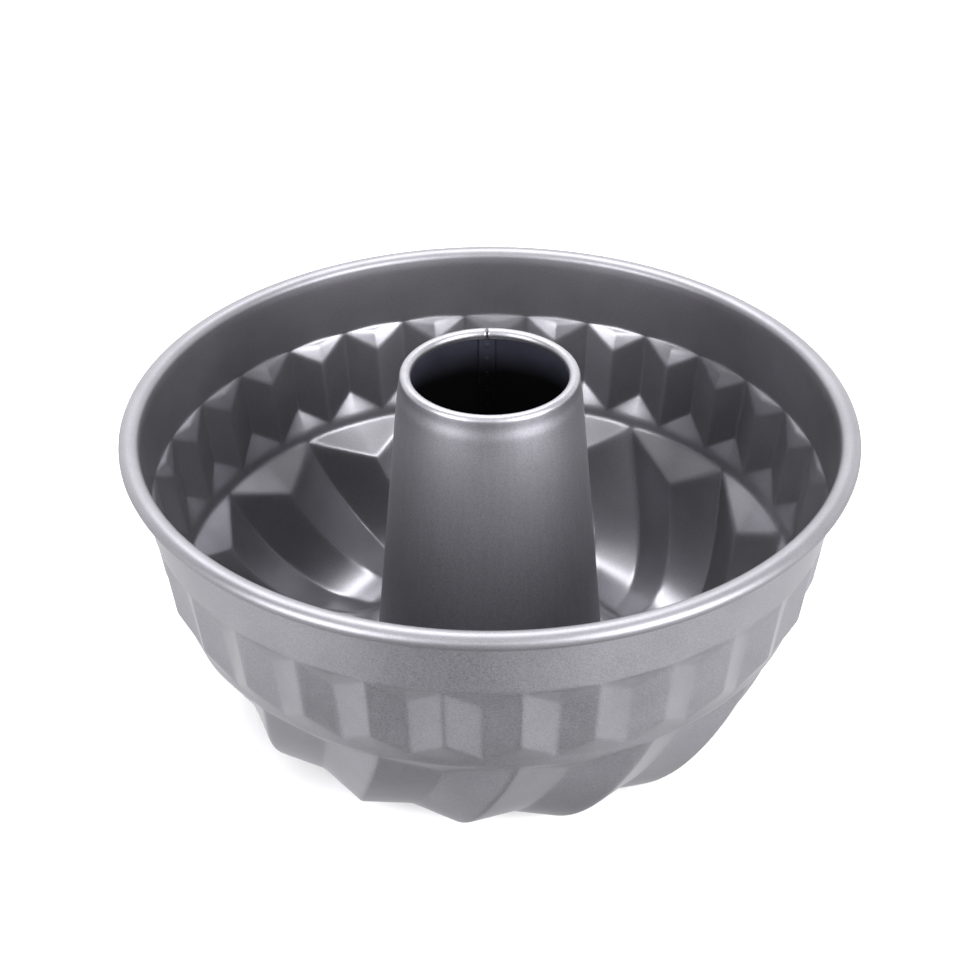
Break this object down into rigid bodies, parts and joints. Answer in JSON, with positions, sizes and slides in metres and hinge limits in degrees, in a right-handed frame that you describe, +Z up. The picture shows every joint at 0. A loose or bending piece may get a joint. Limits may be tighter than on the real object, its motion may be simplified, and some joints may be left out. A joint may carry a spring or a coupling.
{
  "type": "kugelhopf mould",
  "caption": "Round ring-cake mould of coated sheet steel, with a curled rim, a fluted belt, a swirled crown and an open centre tube that lets heat into the middle of the batter.",
  "frame": {"origin": "on the axis of the centre tube, at the level of the crown's resting flats", "axes": "+Z up along the tube to the open mouth, -Y towards the side that faces the viewer in the picture"},
  "size_m": [0.222, 0.222, 0.1159],
  "materials": {
    "coated_steel": "satin metallic non-stick coating on sheet steel"
  },
  "bodies": {
    "root": {"bowl_shell": "coated_steel", "centre_tube": "coated_steel"}
  },
  "joints": []
}
